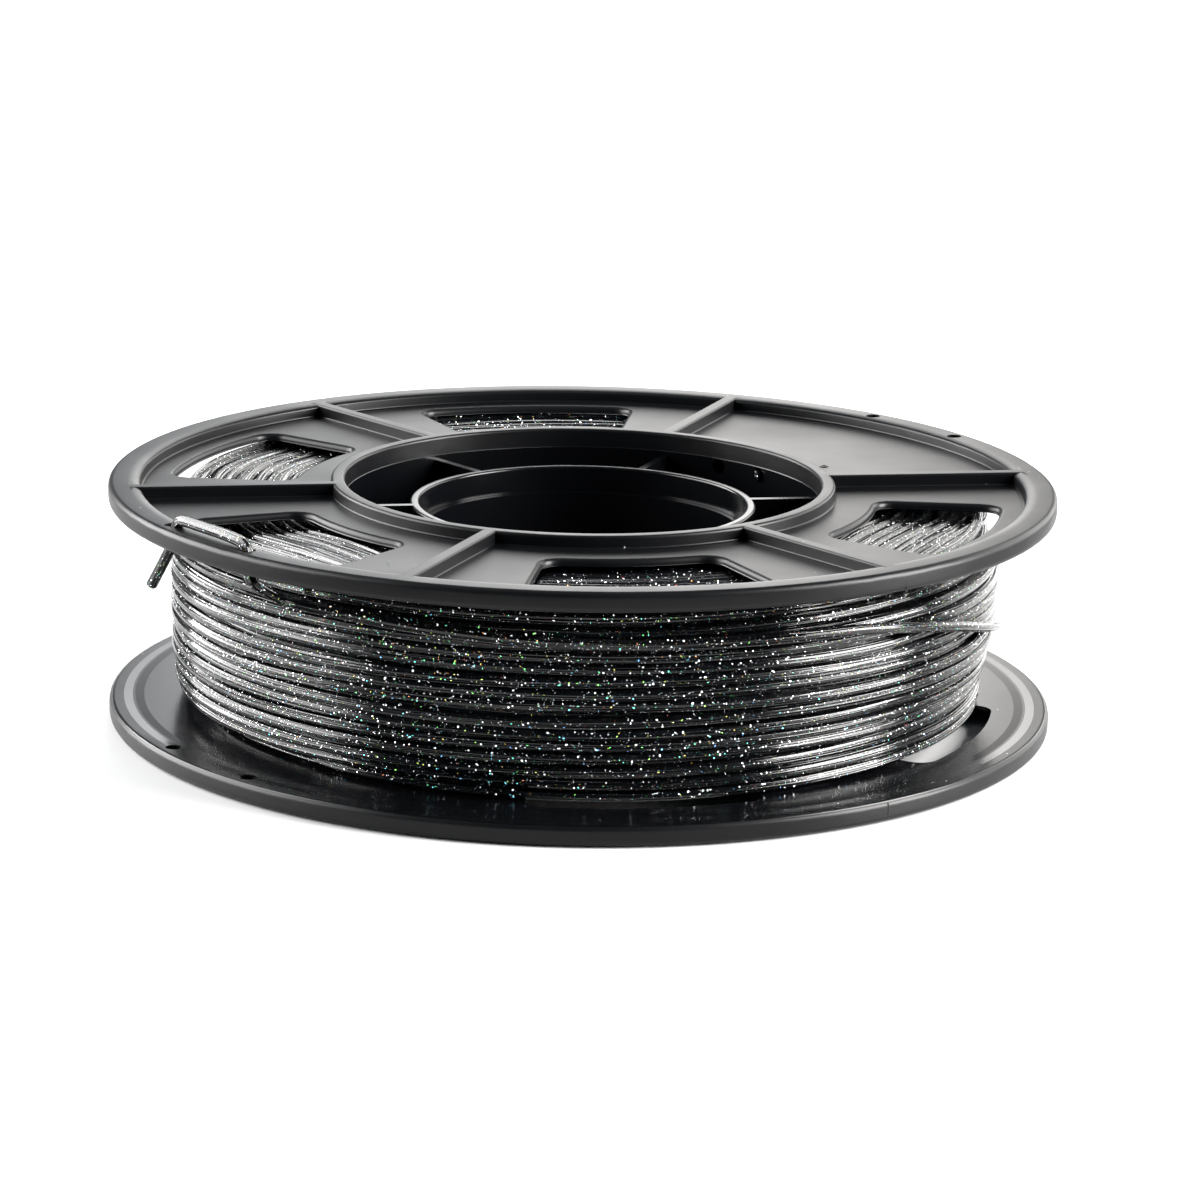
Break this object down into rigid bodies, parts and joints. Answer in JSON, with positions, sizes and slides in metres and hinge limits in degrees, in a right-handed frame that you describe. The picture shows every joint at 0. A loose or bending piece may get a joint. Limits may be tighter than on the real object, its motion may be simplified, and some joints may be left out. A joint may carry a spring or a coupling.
{
  "type": "filament spool",
  "caption": "Flat reel of ribbed, windowed black plastic halves plugged together, wound with glitter filament whose end is threaded through the rim.",
  "frame": {"origin": "centre of the lower flange's outer face, on the spool's axis", "axes": "+Z along the spool's axis, +X along the first rib of both flanges"},
  "size_m": [0.15, 0.15, 0.0401],
  "materials": {
    "spool_plastic": "satin moulded plastic",
    "filament": "glossy translucent black plastic full of silver glitter"
  },
  "bodies": {
    "root": {"upper_half": "spool_plastic", "lower_half": "spool_plastic", "filament_core": "filament", "filament_outer_turns": "filament", "filament_tail": "filament", "filament_start": "filament"}
  },
  "joints": []
}
